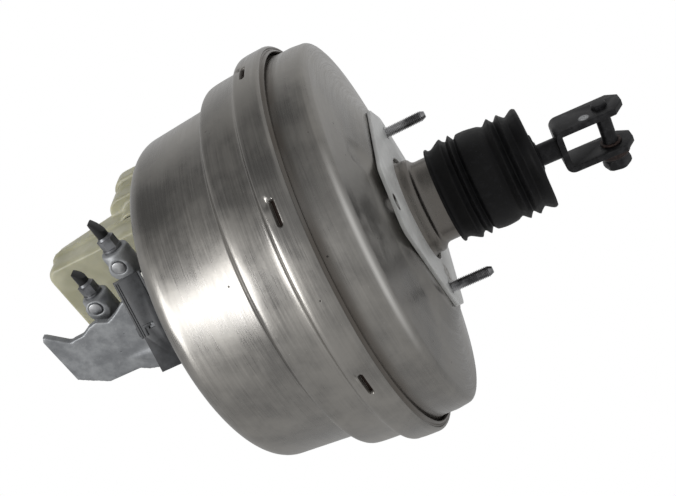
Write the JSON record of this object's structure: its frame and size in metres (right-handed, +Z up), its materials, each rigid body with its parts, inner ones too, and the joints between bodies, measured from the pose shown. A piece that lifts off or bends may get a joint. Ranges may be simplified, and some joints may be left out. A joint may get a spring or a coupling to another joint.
{
  "type": "brake booster with master cylinder",
  "caption": "Tandem vacuum brake booster drum with bolted hydraulic master cylinder, fluid reservoir, pedal rod boot and clevis.",
  "frame": {"origin": "on the booster axis at the rear shell's flat face, which the gasket covers and the studs stand out of", "axes": "+X rearwards along the booster axis towards the pedal, +Z up towards the reservoir cap, +Y to the side away from the outlet ports"},
  "size_m": [0.4575, 0.3004, 0.3072],
  "materials": {
    "satin_sheet_steel": "pressed, satin with drawing marks, light scratches",
    "pressed_steel": "pressed and plated",
    "black_rubber": "moulded, dusty",
    "hub_plastic": "moulded phenolic",
    "bearing_plastic": "moulded low-friction plastic",
    "machined_steel": "turned",
    "spring_steel": "drawn wire",
    "filter_foam": "open foam",
    "black_phosphated_steel": "phosphated and oiled",
    "rusted_steel": "worn coating with surface rust",
    "coated_gasket_sheet": "pressed sheet, satin",
    "zinc_plated_steel": "rolled thread, dull plating",
    "cast_aluminium": "as cast, blasted",
    "machined_aluminium": "machined",
    "dark_steel": "dull plating",
    "coated_pipe": "plastic-coated tube, cut",
    "cream_polymer": "moulded, translucent cream",
    "black_plastic": "moulded",
    "charcoal_plastic": "moulded, fine grain",
    "valve_disc_rubber": "moulded"
  },
  "bodies": {
    "housing": {"front_shell": "satin_sheet_steel", "rear_shell": "satin_sheet_steel", "front_reinforcement": "pressed_steel", "rear_reinforcement": "pressed_steel", "divider_plate": "pressed_steel", "divider_seal": "black_rubber", "front_diaphragm": "black_rubber", "rear_diaphragm": "black_rubber", "neck_seal": "black_rubber", "neck_bearing": "bearing_plastic", "return_spring": "spring_steel", "boot": "black_rubber", "mounting_gasket": "coated_gasket_sheet", "rear_studs": "zinc_plated_steel", "master_cylinder": "cast_aluminium", "front_studs": "zinc_plated_steel", "front_nuts": "zinc_plated_steel", "pilot_seal": "black_rubber", "secondary_spring": "spring_steel", "piston_circlip": "spring_steel", "tube_nuts": "dark_steel", "brake_pipe_stubs": "coated_pipe", "drilling_plugs": "machined_aluminium", "reservoir_grommets": "black_rubber", "reservoir_base": "cream_polymer", "reservoir_top": "cream_polymer", "connector_housing": "charcoal_plastic", "connector_latch": "charcoal_plastic", "housing_bracket": "pressed_steel", "check_valve": "black_plastic", "check_valve_grommet": "black_rubber"},
    "servo_piston": {"front_support_plate": "pressed_steel", "rear_support_plate": "pressed_steel", "plate_retainer": "pressed_steel", "valve_body": "hub_plastic", "stop_key": "pressed_steel", "reaction_disc": "black_rubber", "output_rod": "machined_steel", "poppet_valve": "black_rubber", "poppet_spring": "spring_steel", "poppet_retainer": "pressed_steel", "rod_spring": "spring_steel", "air_filter": "filter_foam"},
    "valve_plunger": {"air_valve_plunger": "machined_steel"},
    "pedal_rod": {"input_rod": "black_phosphated_steel", "clevis": "black_phosphated_steel", "pivot_bolt": "black_phosphated_steel", "pivot_bush": "rusted_steel", "pivot_washer": "black_phosphated_steel"},
    "primary_piston": {"primary_piston": "machined_aluminium", "primary_seals": "black_rubber", "primary_spring": "spring_steel"},
    "secondary_piston": {"secondary_piston": "machined_aluminium", "secondary_seals": "black_rubber"},
    "filler_cap": {"reservoir_cap": "black_plastic"},
    "float": {"level_float": "black_plastic"},
    "check_disc": {"check_valve_disc": "valve_disc_rubber"},
    "cap_seal_disc": {"cap_seal": "black_rubber"}
  },
  "joints": [
    {"name": "pedal_stroke", "type": "slide", "parent": "housing", "child": "valve_plunger", "axis": [-1, 0, 0], "range_m": [0, 0.034], "stiffness_N_per_m": 400, "springref_m": -0.05, "deforming": ["boot", "front_diaphragm", "rear_diaphragm", "return_spring", "poppet_valve", "poppet_spring", "rod_spring", "primary_spring", "secondary_spring"]},
    {"name": "rod_tilt", "type": "hinge", "parent": "valve_plunger", "child": "pedal_rod", "pos_m": [0.012, 0, 0], "axis": [0, 1, 0], "range_deg": [-1.5, 1.5]},
    {"name": "servo_stroke", "type": "slide", "parent": "housing", "child": "servo_piston", "axis": [-1, 0, 0], "range_m": [0, 0.033]},
    {"name": "primary_stroke", "type": "slide", "parent": "housing", "child": "primary_piston", "axis": [-1, 0, 0], "range_m": [0, 0.033]},
    {"name": "secondary_stroke", "type": "slide", "parent": "housing", "child": "secondary_piston", "axis": [-1, 0, 0], "range_m": [0, 0.017]},
    {"name": "cap_lift", "type": "slide", "parent": "housing", "child": "cap_seal_disc", "axis": [0, 0, 1], "range_m": [0, 0.025]},
    {"name": "cap_turn", "type": "hinge", "parent": "cap_seal_disc", "child": "filler_cap", "pos_m": [-0.212, -0.036, 0.15], "axis": [0, 0, 1], "range_deg": [0, 90]},
    {"name": "float_rise", "type": "slide", "parent": "housing", "child": "float", "axis": [0, 0, 1], "range_m": [0, 0.02]},
    {"name": "check_valve_lift", "type": "slide", "parent": "housing", "child": "check_disc", "axis": [1, 0, 0], "range_m": [0, 0.0025]}
  ],
  "couplings": [
    {"joint": "servo_stroke", "follows": "pedal_stroke", "ratio": 0.97},
    {"joint": "primary_stroke", "follows": "pedal_stroke", "ratio": 0.97},
    {"joint": "secondary_stroke", "follows": "pedal_stroke", "ratio": 0.5}
  ]
}
